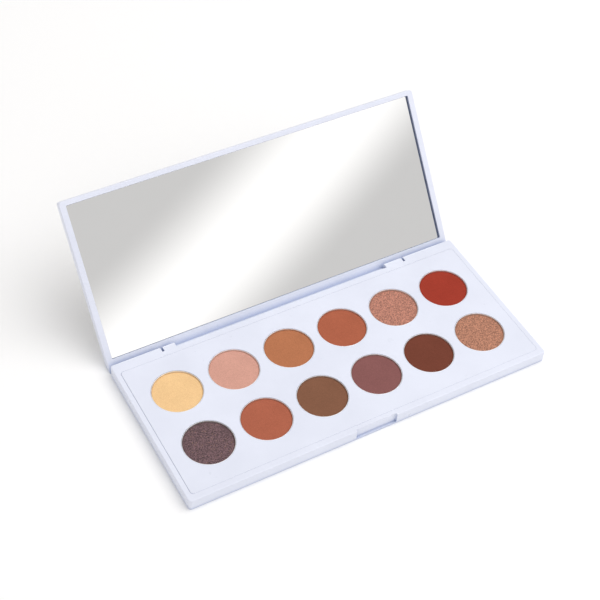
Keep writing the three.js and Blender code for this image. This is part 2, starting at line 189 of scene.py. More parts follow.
def new_piece(name, bm):
    """Makes an object from a bmesh and empties the bmesh."""
    bmesh.ops.recalc_face_normals(bm, faces=bm.faces)
    mesh = bpy.data.meshes.new(name)
    bm.to_mesh(mesh)
    bm.free()
    piece = bpy.data.objects.new(name, mesh)
    bpy.context.scene.collection.objects.link(piece)
    return piece


def rounded_rectangle(low, high, radius):
    """A rectangle with round corners, as a function of how far its outline is drawn in."""
    corners = (
        (high[0] - radius, high[1] - radius, 0),
        (low[0] + radius, high[1] - radius, 90),
        (low[0] + radius, low[1] + radius, 180),
        (high[0] - radius, low[1] + radius, 270),
    )

    def ring(inset):
        points = []
        for x, y, start in corners:
            for step in range(ARC_STEPS + 1):
                angle = math.radians(start + 90 * step / ARC_STEPS)
                reach = radius - inset
                points.append((x + reach * math.cos(angle), y + reach * math.sin(angle)))
        return points

    return ring


def crisp(outline):
    """The same outline, drawn in only a third as far, for an edge that meets another closely."""
    return lambda inset: outline(inset / 3)


def round_hole(centre, radius):
    """A round hole, which widens as the outline is drawn in."""

    def ring(inset):
        points = []
        for step in range(ROUND_STEPS):
            angle = -2 * math.pi * step / ROUND_STEPS
            reach = radius + inset
            points.append((centre[0] + reach * math.cos(angle), centre[1] + reach * math.sin(angle)))
        return points

    return ring


def edge_levels(bottom, top, bottom_rounding, top_rounding, steps=5):
    """Pairs of inset and height that round a plate's lower and upper edges."""

    def quarter(height, rounding, direction):
        count = steps if rounding else 0
        angles = [math.pi / 2 * step / steps for step in range(count + 1)]
        return [
            (rounding * (1 - math.sin(angle)), height + direction * rounding * (1 - math.cos(angle)))
            for angle in angles
        ]

    return quarter(bottom, bottom_rounding, 1) + quarter(top, top_rounding, -1)[::-1]


def plate(name, outline, levels, holes=()):
    """A flat plate with rounded edges and holes."""
    bm = bmesh.new()
    caps = {0: [], len(levels) - 1: []}
    for path in (outline, *holes):
        rings = [[bm.verts.new((x, y, height)) for x, y in path(inset)] for inset, height in levels]
        for below, above in zip(rings, rings[1:]):
            count = len(below)
            for index in range(count):
                after = (index + 1) % count
                bm.faces.new((below[index], below[after], above[after], above[index]))
        for level in caps:
            caps[level].append(rings[level])
    for loops in caps.values():
        vertices = [vertex for loop in loops for vertex in loop]
        if len(loops) == 1:
            bm.faces.new(vertices)
            continue
        for triangle in tessellate_polygon([[vertex.co for vertex in loop] for loop in loops]):
            bm.faces.new([vertices[index] for index in triangle])
    return new_piece(name, bm)


def block(name, low, high):
    """A plain block, used as a cutter or as the start of a shape."""
    bm = bmesh.new()
    bmesh.ops.create_cube(bm, size=1)
    for vertex in bm.verts:
        for axis in range(3):
            vertex.co[axis] = low[axis] if vertex.co[axis] < 0 else high[axis]
    return new_piece(name, bm)


def bar(name, outline, start, end):
    """An outline of (y, z) points drawn along X."""
    bm = bmesh.new()
    near = [bm.verts.new((start, y, z)) for y, z in outline]
    far = [bm.verts.new((end, y, z)) for y, z in outline]
    count = len(outline)
    for index in range(count):
        after = (index + 1) % count
        bm.faces.new((near[index], near[after], far[after], far[index]))
    bm.faces.new(near)
    bm.faces.new(far)
    return new_piece(name, bm)


def arc(centre, radius, start, end, steps):
    """Points on an arc, with angles in degrees."""
    angles = [math.radians(start + (end - start) * step / steps) for step in range(steps + 1)]
    return [(centre[0] + radius * math.cos(angle), centre[1] + radius * math.sin(angle)) for angle in angles]


def rod(name, radius, start, end):
    """A round rod on the hinge axis."""
    circle = arc((HINGE.y, HINGE.z), radius, 0, 360 * (ROD_STEPS - 1) / ROD_STEPS, ROD_STEPS - 1)
    return bar(name, circle, start, end)


def turned(name, profile, steps=ROUND_STEPS):
    """A closed turned piece about Z; its profile starts and ends on the axis."""
    bm = bmesh.new()
    rings = []
    for radius, height in profile:
        if radius == 0:
            rings.append([bm.verts.new((0, 0, height))])
            continue
        circle = arc((0, 0), radius, 0, 360 * (steps - 1) / steps, steps - 1)
        rings.append([bm.verts.new((x, y, height)) for x, y in circle])
    for below, above in zip(rings, rings[1:]):
        for index in range(steps):
            after = (index + 1) % steps
            corners = [below[index % len(below)], below[after % len(below)]]
            corners += [above[after % len(above)], above[index % len(above)]]
            bm.faces.new(list(dict.fromkeys(corners)))
    return new_piece(name, bm)


def combine(target, tool, operation):
    """Cuts or joins one solid with another and throws the tool away."""
    modifier = target.modifiers.new("combine", "BOOLEAN")
    modifier.operation = operation
    modifier.solver = "EXACT"
    modifier.object = tool
    graph = bpy.context.evaluated_depsgraph_get()
    mesh = bpy.data.meshes.new_from_object(target.evaluated_get(graph))
    target.modifiers.clear()
    old = target.data
    target.data = mesh
    bpy.data.meshes.remove(old)
    bpy.data.objects.remove(tool)


def cut(target, tool):
    combine(target, tool, "DIFFERENCE")


def join(target, tool):
    combine(target, tool, "UNION")


def clean(piece):
    """Joins the flat faces that cutting splits up."""
    merge_distance = 1e-6
    flat = math.radians(0.2)
    bm = bmesh.new()
    bm.from_mesh(piece.data)
    bmesh.ops.remove_doubles(bm, verts=bm.verts, dist=merge_distance)
    bmesh.ops.dissolve_limit(bm, angle_limit=flat, verts=bm.verts, edges=bm.edges)
    bmesh.ops.recalc_face_normals(bm, faces=bm.faces)
    bm.to_mesh(piece.data)
    bm.free()


def soften(piece, width=FINE_ROUNDING):
    """Rounds the sharp edges a little, and shades the rest smooth."""
    piece.data.shade_smooth()
    bevel = piece.modifiers.new("soften", "BEVEL")
    bevel.width = width
    bevel.segments = 2
    bevel.limit_method = "ANGLE"
    bevel.angle_limit = math.radians(32)
    bevel.use_clamp_overlap = True
    bevel.miter_outer = "MITER_ARC"
    weighted = piece.modifiers.new("normals", "WEIGHTED_NORMAL")
    weighted.keep_sharp = True
    weighted.weight = 100


def smooth(piece, sharp=30):
    """Shades a piece smooth except across its sharp edges."""
    piece.data.shade_smooth()
    piece.data.set_sharp_from_angle(angle=math.radians(sharp))
    weighted = piece.modifiers.new("normals", "WEIGHTED_NORMAL")
    weighted.keep_sharp = True
    return piece


def dress(piece, material, body, node):
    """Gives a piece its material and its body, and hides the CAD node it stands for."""
    piece.data.materials.clear()
    piece.data.materials.append(material)
    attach(piece, body)
    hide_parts(node)
    return piece


# ------------------------------------------------------------------ materials


class Nodes:
    """A short way to write a material's nodes."""

    def __init__(self, name):
        self.material = bpy.data.materials.new(name)
        self.material.use_nodes = True
        self.tree = self.material.node_tree
        self.shader = self.tree.nodes["Principled BSDF"]
        coordinates = self.tree.nodes.new("ShaderNodeTexCoord")
        self.place = coordinates.outputs["Object"]

    def add(self, kind, links=(), **values):
        node = self.tree.nodes.new(kind)
        for name, value in values.items():
            if hasattr(node, name):
                setattr(node, name, value)
            else:
                node.inputs[name.replace("_", " ")].default_value = value
        for socket, source in dict(links).items():
            self.tree.links.new(source, node.inputs[socket])
        return node

    def set(self, **values):
        for name, value in values.items():
            self.shader.inputs[name.replace("_", " ")].default_value = value

    def link(self, source, name):
        self.tree.links.new(source, self.shader.inputs[name])

    def noise(self, scale, detail=2, roughness=0.5, place=None):
        node = self.add("ShaderNodeTexNoise", {"Vector": place or self.place})
        node.inputs["Scale"].default_value = scale
        node.inputs["Detail"].default_value = detail
        node.inputs["Roughness"].default_value = roughness
        return node.outputs["Fac"]

    def cells(self, scale):
        node = self.add("ShaderNodeTexVoronoi", {"Vector": self.place})
        node.inputs["Scale"].default_value = scale
        return node

    def spread(self, source, low, high, start=0, end=1):
        """Maps a value between start and end to a value between low and high."""
        node = self.add("ShaderNodeMapRange", {"Value": source})
        node.inputs["From Min"].default_value = start
        node.inputs["From Max"].default_value = end
        node.inputs["To Min"].default_value = low
        node.inputs["To Max"].default_value = high
        return node.outputs["Result"]

    def math(self, operation, first, second):
        node = self.add("ShaderNodeMath")
        node.operation = operation
        for socket, value in zip(node.inputs, (first, second)):
            if isinstance(value, (int, float)):
                socket.default_value = value
            else:
                self.tree.links.new(value, socket)
        return node.outputs[0]

    def mix(self, factor, first, second):
        """Mixes two colours; the mix node's sockets 0, 6 and 7 are the factor and the colours."""
        node = self.add("ShaderNodeMix")
        node.data_type = "RGBA"
        for socket, value in ((node.inputs[0], factor), (node.inputs[6], first), (node.inputs[7], second)):
            if isinstance(value, (int, float)):
                socket.default_value = value
            elif isinstance(value, (tuple, list)):
                socket.default_value = (*value, 1) if len(value) == 3 else value
            else:
                self.tree.links.new(value, socket)
        return node.outputs[2]

    def bump(self, height, strength, distance, normal=None):
        links = {"Height": height}
        if normal:
            links["Normal"] = normal
        node = self.add("ShaderNodeBump", links)
        node.inputs["Strength"].default_value = strength
        node.inputs["Distance"].default_value = distance
        return node.outputs["Normal"]


def linear(red, green, blue):
    """A screen colour from 0 to 255 as linear light."""
    def channel(value):
        value /= 255
        return value / 12.92 if value <= 0.04045 else ((value + 0.055) / 1.055) ** 2.4

    return (channel(red), channel(green), channel(blue))


def scaled(colour, factor):
    return tuple(min(1, channel * factor) for channel in colour)


def white_plastic():
    """Smooth moulded plastic, with a faint cloudiness and uneven gloss.

    It is painted bluer and darker in crevices: painted shade, which stands in for the light lost in the
    hinge groove.
    """
    n = Nodes("white_plastic")
    cloud = n.noise(35, 3)
    tone = n.spread(cloud, 0, 1, 0.35, 0.65)
    colour = n.mix(tone, linear(223, 227, 241), linear(228, 232, 246))
    # Painted shade: where the AO node finds the surface enclosed, the colour is mixed towards a darker blue.
    crevice = n.add("ShaderNodeAmbientOcclusion", Distance=4 * MM, samples=8)
    openness = n.spread(crevice.outputs["AO"], 0, 1, 0.35, 0.85)
    n.link(n.mix(openness, linear(166, 179, 210), colour), "Base Color")
    n.link(n.spread(n.noise(160, 4, 0.6), 0.27, 0.37, 0.3, 0.7), "Roughness")
    grain = n.noise(4200, 2)
    ripple = n.noise(90, 2)
    normal = n.bump(ripple, 0.12, 0.00012)
    n.link(n.bump(grain, 0.05, 0.00002, normal), "Normal")
    n.set(IOR=1.5)
    return n.material


def pan_metal():
    """Bright drawn metal with faint turning lines."""
    n = Nodes("pan_metal")
    stretch = n.add("ShaderNodeMapping", {"Vector": n.place})
    stretch.inputs["Scale"].default_value = (1, 1, 14)
    lines = n.noise(900, 2, 0.5, stretch.outputs["Vector"])
    n.link(n.spread(lines, 0.45, 0.6, 0.3, 0.7), "Roughness")
    n.link(n.mix(lines, (0.93, 0.92, 0.91), (0.99, 0.98, 0.97)), "Base Color")
    n.link(n.bump(lines, 0.1, 0.00002), "Normal")
    n.set(Metallic=1)
    return n.material


def pin_steel():
    n = Nodes("pin_steel")
    stretch = n.add("ShaderNodeMapping", {"Vector": n.place})
    stretch.inputs["Scale"].default_value = (0.05, 1, 1)
    lines = n.noise(6000, 2, 0.5, stretch.outputs["Vector"])
    n.link(n.spread(lines, 0.2, 0.4, 0.3, 0.7), "Roughness")
    n.link(n.mix(lines, (0.5, 0.5, 0.51), (0.62, 0.62, 0.63)), "Base Color")
    n.set(Metallic=1)
    return n.material


def mirror_glass():
    """Silvered glass with a trace of haze."""
    n = Nodes("mirror_glass")
    haze = n.noise(60, 4, 0.6)
    n.link(n.spread(haze, 0.012, 0.035, 0.4, 0.75), "Roughness")
    n.link(n.mix(haze, (0.9, 0.905, 0.905), (0.92, 0.925, 0.925)), "Base Color")
    n.set(Metallic=1)
    return n.material


def glass_edge():
    """The cut edge of the mirror, dark with the paint behind the silver."""
    n = Nodes("glass_edge")
    wear = n.noise(900, 3)
    n.link(n.mix(wear, (0.02, 0.025, 0.025), (0.06, 0.07, 0.07)), "Base Color")
    n.link(n.spread(wear, 0.3, 0.5), "Roughness")
    return n.material


def foam_tape():
    n = Nodes("foam_tape")
    foam = n.cells(3500).outputs["Distance"]
    n.link(n.mix(foam, (0.84, 0.84, 0.81), (0.92, 0.92, 0.9)), "Base Color")
    n.link(n.bump(foam, 0.4, 0.00008), "Normal")
    n.set(Roughness=0.9)
    return n.material


def hot_glue():
    n = Nodes("hot_glue")
    wave = n.noise(300, 2)
    n.link(n.mix(wave, (0.72, 0.68, 0.56), (0.86, 0.83, 0.74)), "Base Color")
    n.link(n.bump(wave, 0.5, 0.0002), "Normal")
    n.set(Roughness=0.35)
    return n.material


def printed_card():
    """A print of crumbled pressed powder: pale at the left, then taupe, and brown at the right."""
    n = Nodes("printed_card")
    lumps = n.math("MULTIPLY", n.cells(260).outputs["Distance"], 2.2)
    specks = n.math("MULTIPLY", n.cells(1100).outputs["Distance"], 1.6)
    pale = n.mix(lumps, linear(238, 236, 230), linear(206, 203, 196))
    taupe = n.mix(specks, linear(178, 152, 134), linear(128, 100, 86))
    brown = n.mix(specks, linear(112, 78, 60), linear(62, 42, 36))
    paper = linear(244, 240, 234)

    place = n.add("ShaderNodeSeparateXYZ", {"Vector": n.place})
    along = n.spread(place.outputs["X"], 0, 1, -0.1, 0.1)
    drift = n.noise(16, 4, 0.6)
    patch = n.math("ADD", n.math("MULTIPLY", drift, 1.1), n.math("MULTIPLY", along, 0.55))
    taupe_here = n.spread(patch, 0, 1, 0.72, 0.8)
    brown_here = n.spread(patch, 0, 1, 0.86, 0.98)
    ink = n.mix(brown_here, n.mix(taupe_here, pale, taupe), brown)
    bare_here = n.spread(n.noise(1800, 2), 0, 0.35, 0.45, 0.75)
    n.link(n.mix(bare_here, ink, paper), "Base Color")
    n.link(n.bump(n.noise(2600, 2), 0.1, 0.00003), "Normal")
    n.set(Roughness=0.55)
    return n.material


def clear_plastic():
    """A clear sheet with faint handling marks in its gloss."""
    n = Nodes("clear_plastic")
    n.link(n.spread(n.noise(45, 4, 0.6), 0.02, 0.09, 0.4, 0.75), "Roughness")
    n.set(Base_Color=(0.98, 0.985, 0.99, 1), Transmission_Weight=1, IOR=1.49)
    return n.material


def rim_shade(n, radius):
    """The mask of a painted shade round the powder's edge: one at the powder's edge and zero over its
    middle.
    """
    flat = n.add("ShaderNodeVectorMath", {"Vector": n.place})
    flat.operation = "MULTIPLY"
    flat.inputs[1].default_value = (1, 1, 0)
    reach = n.add("ShaderNodeVectorMath", {"Vector": flat.outputs["Vector"]})
    reach.operation = "LENGTH"
    width = 0.55 * MM
    wander = n.math("MULTIPLY", n.noise(500, 3), 0.3 * MM)
    edge = n.math("ADD", reach.outputs["Value"], wander)
    return n.spread(edge, 0, 1, radius - width, radius)


def matte_powder(name, colour, radius):
    """Pressed powder: fine grains, faint clouds of colour, a soft bloom and a painted shade darkening its
    edge.
    """
    n = Nodes(name)
    grains = n.noise(2400, 3, 0.7)
    clouds = n.noise(130, 4, 0.55)
    body = n.mix(n.spread(clouds, 0, 1, 0.3, 0.7), scaled(colour, 0.88), scaled(colour, 1.04))
    speckled = n.mix(n.spread(grains, 0, 1, 0.25, 0.75), scaled(colour, 0.62), scaled(colour, 1.3))
    mixed = n.mix(0.5, body, speckled)
    # Painted shade: the powder's colour is darkened towards its rim.
    edge = n.math("MULTIPLY", rim_shade(n, radius), 0.3)
    n.link(n.mix(edge, mixed, scaled(colour, 0.45)), "Base Color")
    ripple = n.bump(n.noise(420, 3, 0.6), 0.25, 0.00012)
    n.link(n.bump(grains, 0.35, 0.00006, ripple), "Normal")
    n.set(Roughness=0.92, Specular_IOR_Level=0.05, Sheen_Weight=0.01, Sheen_Roughness=0.5)
    return n.material


def shimmer_powder(name, colour, radius):
    """Pressed powder with pearl pigment: tiny bright flakes that face different ways."""
    n = Nodes(name)
    flakes = n.cells(2400)
    tint = n.add("ShaderNodeSeparateColor", {"Color": flakes.outputs["Color"]})
    base = n.mix(tint.outputs["Red"], scaled(colour, 0.38), scaled(colour, 1.5))
    clouds = n.spread(n.noise(110, 4, 0.55), 0, 1, 0.3, 0.7)
    body = n.mix(clouds, scaled(colour, 0.94), scaled(colour, 1.06))
    mixed = n.mix(0.8, body, base)
    # Painted shade: the powder's colour is darkened towards its rim.
    edge = n.math("MULTIPLY", rim_shade(n, radius), 0.4)
    n.link(n.mix(edge, mixed, scaled(colour, 0.5)), "Base Color")
    n.link(n.spread(tint.outputs["Green"], 0.35, 0.55), "Roughness")
    ripple = n.bump(n.noise(420, 3, 0.6), 0.2, 0.00012)
    n.link(n.bump(tint.outputs["Blue"], 0.25, 0.00003, ripple), "Normal")
    n.set(Metallic=0.35, Specular_IOR_Level=0.5)
    return n.material


def glitter_powder(name, colour, radius):
    """Dark pressed powder full of fine glitter in pink and gold."""
    n = Nodes(name)
    flakes = n.cells(2200)
    tint = n.add("ShaderNodeSeparateColor", {"Color": flakes.outputs["Color"]})
    small = n.cells(2600)
    small_tint = n.add("ShaderNodeSeparateColor", {"Color": small.outputs["Color"]})
    mottled = n.mix(small_tint.outputs["Red"], scaled(colour, 0.3), scaled(colour, 1.35))
    gold_or_pink = n.mix(tint.outputs["Green"], linear(214, 178, 132), linear(222, 164, 172))
    flake = n.spread(tint.outputs["Red"], 0, 1, 0.9, 0.93)
    near = n.spread(flakes.outputs["Distance"], 1, 0, 0.3, 0.42)
    shown = n.math("MULTIPLY", flake, near)
    speckled = n.mix(n.math("MULTIPLY", shown, 0.85), mottled, gold_or_pink)
    # Painted shade: the powder's colour is darkened towards its rim.
    edge = n.math("MULTIPLY", rim_shade(n, radius), 0.55)
    n.link(n.mix(edge, speckled, scaled(colour, 0.4)), "Base Color")
    n.link(n.spread(shown, 0.6, 0.25), "Roughness")
    n.link(n.spread(shown, 0.15, 0.9), "Metallic")
    n.link(n.bump(small_tint.outputs["Green"], 0.3, 0.00005), "Normal")
    return n.material


POWDER_LOOKS = {"matte": matte_powder, "shimmer": shimmer_powder, "glitter": glitter_powder}

# Back row from left to right, then front row from left to right: slot, screen colour and look.
SHADES = (
    ("powder_pale_yellow", (253, 203, 149), "matte"),
    ("powder_pink_beige", (214, 161, 145), "matte"),
    ("powder_tan", (184, 119, 84), "matte"),
    ("powder_terracotta", (175, 99, 74), "matte"),
    ("powder_rose_gold", (186, 127, 108), "shimmer"),
    ("powder_brick_red", (162, 61, 47), "matte"),
    ("powder_plum_glitter", (110, 82, 87), "glitter"),
    ("powder_burnt_orange", (176, 101, 78), "matte"),
    ("powder_brown", (133, 92, 71), "matte"),
    ("powder_mauve", (138, 91, 89), "matte"),
    ("powder_dark_brown", (118, 66, 52), "matte"),
    ("powder_copper", (181, 126, 101), "shimmer"),
)

# ------------------------------------------------------------------ base


def pan_place(number):
    """Centre of a pan, with its lowest and highest corners."""
    low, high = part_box(f"pan_{number}")
    return (low + high) / 2, low, high


def base_tray(material):
    outer = rounded_rectangle(BASE_LOW, BASE_HIGH, CORNER_RADIUS)
    tray = plate("tray", outer, edge_levels(BASE_LOW.z, BASE_HIGH.z, TRAY_FOOT_ROUNDING, EDGE_ROUNDING))

    pocket_low = INSERT_LOW - Vector((LEFT_SEAM, SEAM, 0))
    pocket_high = INSERT_HIGH + Vector((SEAM, SEAM, 0))
    pocket = rounded_rectangle(pocket_low, pocket_high, CORNER_RADIUS)
    cut(tray, plate("pocket", pocket, edge_levels(LEDGE_TOP, BASE_HIGH.z + OVER, 0, 0)))

    ledge = Vector((LEDGE_WIDTH, LEDGE_WIDTH, 0))
    cavity_high = Vector((INSERT_HIGH.x - LEDGE_WIDTH, NOTCH_FRONT - NOTCH_WALL))
    cavity = rounded_rectangle(INSERT_LOW + ledge, cavity_high, CORNER_RADIUS)
    cut(tray, plate("cavity", cavity, edge_levels(FLOOR_THICKNESS, BASE_HIGH.z, 0, 0)))

    left, _, _ = pan_place("01")
    right, _, _ = pan_place("06")
    middle_y = (left.y + pan_place("07")[0].y) / 2
    gaps = len(NUMBERS) // 2 - 1
    pitch = (right.x - left.x) / gaps
    for gap in range(gaps):
        post = turned("post", [
            (0, FLOOR_THICKNESS / 2),
            (POST_RADIUS, FLOOR_THICKNESS / 2),
            (POST_RADIUS, LEDGE_TOP),
            (0, LEDGE_TOP),
        ], POST_STEPS)
        post.data.transform(Matrix.Translation((left.x + (gap + 0.5) * pitch, middle_y, 0)))
        join(tray, post)

    thumb = rounded_rectangle(
        (-THUMB_HALF_WIDTH, BASE_LOW.y - THUMB_RUNOUT),
        (THUMB_HALF_WIDTH, BASE_LOW.y + THUMB_DEPTH),
        THUMB_CORNER,
    )
    cut(tray, plate("thumb", thumb, edge_levels(THUMB_LIP, BASE_HIGH.z + OVER, 0, 0)))

    rear = BASE_HIGH.y + OVER
    cut(tray, block(
        "low_notch", (NOTCH_LEFT, NOTCH_FRONT, -OVER), (NOTCH_RIGHT, rear, BASE_HIGH.z - LIP_THICKNESS),
    ))
    cut(tray, block(
        "high_notch", (NOTCH_LEFT, LIP_REAR, -OVER), (NOTCH_RIGHT, rear, BASE_HIGH.z + OVER),
    ))
    for end in (LEFT_END, RIGHT_END):
        slot = end.span(end.slot_start, end.slot_end)
        cut(tray, block(
            "pin_slot", (slot[0], PIN_SLOT_FRONT, PIN_SLOT_BOTTOM), (slot[1], rear, BASE_HIGH.z + OVER),
        ))
        bore = end.span(end.barrel_end, (end.slot_start + end.slot_end) / 2)
        cut(tray, rod("ear_bore", end.radius + PIN_FIT, *bore))

    sweep = LID_BOTTOM - HINGE.z - SWEEP_CLEARANCE
    start = math.degrees(math.asin((BASE_HIGH.z - HINGE.z) / sweep))
    end = math.degrees(math.acos((BASE_HIGH.y - HINGE.y) / sweep))
    swept = arc((HINGE.y, HINGE.z), sweep, start, end, 10)
    trim = [(rear, BASE_HIGH.z + OVER), (swept[0][0], BASE_HIGH.z + OVER), *swept, (rear, swept[-1][1])]
    cut(tray, bar("trim", trim, BASE_LOW.x - OVER, BASE_HIGH.x + OVER))

    clean(tray)
    soften(tray, SEAM_ROUNDING)
    tray.name = "case_base"
    return dress(tray, material, "base", "base_tray")


def insert_plate(material):
    outline = rounded_rectangle(INSERT_LOW, INSERT_HIGH, CORNER_RADIUS)
    holes = []
    for number in NUMBERS:
        centre, low, high = pan_place(number)
        holes.append(round_hole(centre, (high.x - low.x) / 2 + HOLE_CLEARANCE))
    levels = edge_levels(INSERT_LOW.z, INSERT_HIGH.z, 0, HOLE_ROUNDING)
    insert = smooth(plate("insert", crisp(outline), levels, holes))
    return dress(insert, material, "base", "insert_plate")


def pan(number, material):
    """A drawn cup with a rounded rim and a rounded foot."""
    centre, low, high = pan_place(number)
    radius = (high.x - low.x) / 2
    wall = 0.25 * MM
    foot = 0.5 * MM
    floor = low.z + 0.3 * MM
    profile = [(0, low.z)]
    profile += arc((radius - foot, low.z + foot), foot, -90, 0, SMALL_ARC_STEPS)
    profile += arc((radius - wall / 2, high.z - wall / 2), wall / 2, 0, 180, SMALL_ARC_STEPS)
    profile += [(radius - wall, floor), (0, floor)]
    cup = smooth(turned(f"cup_{number}", profile), sharp=40)
    cup.location = (centre.x, centre.y, 0)
    return dress(cup, material, "base", f"pan_{number}")


def powder(number, material):
    """A pressed cake with a slightly uneven top and a worn edge."""
    low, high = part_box(f"powder_{number}")
    centre = (low + high) / 2
    radius = (high.x - low.x) / 2
    shoulder = 0.55 * MM
    drop = 0.2 * MM
    step_below = 0.1 * MM
    rings = 36
    wave_depth = 0.05 * MM
    ripple_height = 0.012 * MM
    profile = [(0, low.z), (radius, low.z), (radius, high.z - drop - step_below)]
    for index in range(SMALL_ARC_STEPS + 1):
        turn = math.pi / 2 * index / SMALL_ARC_STEPS
        profile.append((radius - shoulder * (1 - math.cos(turn)), high.z - drop + drop * math.sin(turn)))
    inner = radius - shoulder
    profile += [(inner * (1 - index / rings), high.z) for index in range(1, rings)]
    profile += [(0, high.z)]
    cake = turned(f"cake_{number}", profile)
    seed = Vector((0, 0, int(number) * 7.0))
    for vertex in cake.data.vertices:
        if vertex.co.z > high.z - drop * 1.2:
            wave = noise.noise(vertex.co * 160 + seed)
            ripple = noise.noise(vertex.co * 700 + seed)
            vertex.co.z += min(0, wave_depth * (wave - 0.6)) + ripple_height * ripple
    cake.location = (centre.x, centre.y, 0)
    smooth(cake, sharp=60)
    return dress(cake, material, "base", f"powder_{number}")


def glue_dot(number, material):
    """A flattened blob of glue with three soft lobes."""
    lobes = 3
    unevenness = 0.06
    low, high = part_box(f"glue_dot_{number}")
    centre = (low + high) / 2
    half = (high.z - low.z) / 2
    radius = (high.x - low.x) / 2 - half
    profile = [(0, low.z)] + arc((radius, low.z + half), half, -90, 90, 8) + [(0, high.z)]
    blob = turned(f"glue_{number}", profile, GLUE_STEPS)
    for vertex in blob.data.vertices:
        angle = math.atan2(vertex.co.y, vertex.co.x)
        reach = 1 - unevenness * (1 + math.sin(lobes * angle + int(number)))
        vertex.co.x *= reach
        vertex.co.y *= reach
    blob.location = (centre.x, centre.y, 0)
    smooth(blob, sharp=60)
    return dress(blob, material, "base", f"glue_dot_{number}")


def hinge_pin(end, material):
    """A straight steel pin with softly rounded ends."""
    pin = rod(f"steel_{end.node}", end.radius, end.low.x, end.high.x)
    soften(pin, 0.1 * MM)
    return dress(pin, material, "base", end.node)


# ------------------------------------------------------------------ lid, drawn closed


def spine_outline():
    """Section of the lid's rear end, with the sloping back that clears the table when open."""
    sine = math.sin(OPEN_ANGLE)
    cosine = -math.cos(OPEN_ANGLE)

    def slope(height):
        return HINGE.y + (HINGE.z - TABLE_CLEARANCE - cosine * (height - HINGE.z)) / sine

    shoulder = LID_HIGH.z - SPINE_SHOULDER
    start = Vector((slope(shoulder), shoulder))
    bend = Vector((slope(LID_HIGH.z), LID_HIGH.z))
    end = Vector((bend.x - SPINE_CURVE, LID_HIGH.z))
    steps = 10
    curve = []
    for step in range(steps + 1):
        t = step / steps
        point = start * (1 - t) ** 2 + bend * 2 * t * (1 - t) + end * t ** 2
        curve.append((point.x, point.y))
    lower = [(SPINE_FRONT, LID_BOTTOM), (slope(LID_BOTTOM), LID_BOTTOM)]
    return [*lower, *curve, (SPINE_FRONT, LID_HIGH.z)]


def lid_shell(material):
    low = Vector((LID_LOW.x, LID_LOW.y, 0))
    high = Vector((LID_HIGH.x, BASE_HIGH.y, 0))
    levels = edge_levels(LID_BOTTOM, LID_HIGH.z, LID_INNER_ROUNDING, LID_OUTER_ROUNDING)
    lid = plate("lid", rounded_rectangle(low, high, CORNER_RADIUS), levels)
    cut(lid, block(
        "behind",
        (low.x - OVER, SPINE_FRONT, LID_BOTTOM - OVER),
        (high.x + OVER, high.y + OVER, LID_HIGH.z + OVER),
    ))
    spine = bar("spine", spine_outline(), low.x, high.x)
    longer = rounded_rectangle(low, high + Vector((0, SPINE_ROOM, 0)), CORNER_RADIUS)
    combine(spine, plate("rounding", longer, levels), "INTERSECT")
    join(lid, spine)

    join(lid, rod("barrel", BARREL_RADIUS, BARREL_LEFT, BARREL_RIGHT))
    neck_high = (BARREL_RIGHT, NECK_REAR, LID_BOTTOM + NECK_OVERLAP)
    join(lid, block("neck", (BARREL_LEFT, NECK_FRONT, HINGE.z), neck_high))
    for end in (LEFT_END, RIGHT_END):
        bore = end.span(end.bore_start, end.barrel_end + OVER)
        cut(lid, rod("bore", end.radius + PIN_CLEARANCE, *bore))

    pocket_low = MIRROR_LOW - Vector((MIRROR_SMALL_GAP, MIRROR_SMALL_GAP, 0))
    pocket_high = MIRROR_HIGH + Vector((MIRROR_RIGHT_GAP, MIRROR_REAR_GAP, 0))
    pocket = rounded_rectangle(pocket_low, pocket_high, MIRROR_POCKET_CORNER)
    cut(lid, plate("mirror_pocket", pocket, edge_levels(LID_BOTTOM - OVER, MIRROR_POCKET_TOP, 0, 0)))

    gap = Vector((SHEET_GAP, SHEET_GAP, 0))
    pocket = rounded_rectangle(CARD_LOW - gap, CARD_HIGH + gap, CARD_POCKET_CORNER)
    cut(lid, plate("card_pocket", pocket, edge_levels(CARD_POCKET_BOTTOM, LID_HIGH.z + OVER, 0, 0)))

    clean(lid)
    lid.data.transform(OPENING)
    soften(lid)
    lid.name = "lid_case"
    return dress(lid, material, "lid", "lid_shell")


def lid_sheet(name, low, high, corner, rounding, material, node):
    """A flat sheet in the lid with softly ground edges."""
    outline = rounded_rectangle(low, high, corner)
    sheet = plate(name, outline, edge_levels(low.z, high.z, rounding, rounding, 3))
    sheet.data.transform(OPENING)
    smooth(sheet)
    return dress(sheet, material, "lid", node)


def mirror_sheet():
    """The mirror, whose cut edges are dark."""
    sheet = lid_sheet(
        "mirror_sheet", MIRROR_LOW, MIRROR_HIGH, MIRROR_CORNER, FINE_ROUNDING,
        mirror_glass(), "mirror",
    )
    sheet.data.materials.append(glass_edge())
    upright = CLOSING.to_3x3()
    for face in sheet.data.polygons:
        if abs((upright @ face.normal).z) < 0.5:
            face.material_index = 1


def card_sheet():
    lid_sheet(
        "card_sheet", CARD_LOW, CARD_HIGH, SHEET_CORNER, CARD_EDGE_ROUNDING,
        printed_card(), "lid_card",
    )


def window_sheet():
    lid_sheet(
        "window_sheet", WINDOW_LOW, WINDOW_HIGH, SHEET_CORNER, WINDOW_EDGE_ROUNDING,
        clear_plastic(), "lid_window",
    )


def mirror_tape():
    """The frame's own tape, in foam."""
    tape = frame["nodes"]["mirror_tape"]
    tape.data.materials.clear()
    tape.data.materials.append(foam_tape())


# ------------------------------------------------------------------ build the object

plastic = white_plastic()
metal = pan_metal()
glue_material = hot_glue()
steel = pin_steel()

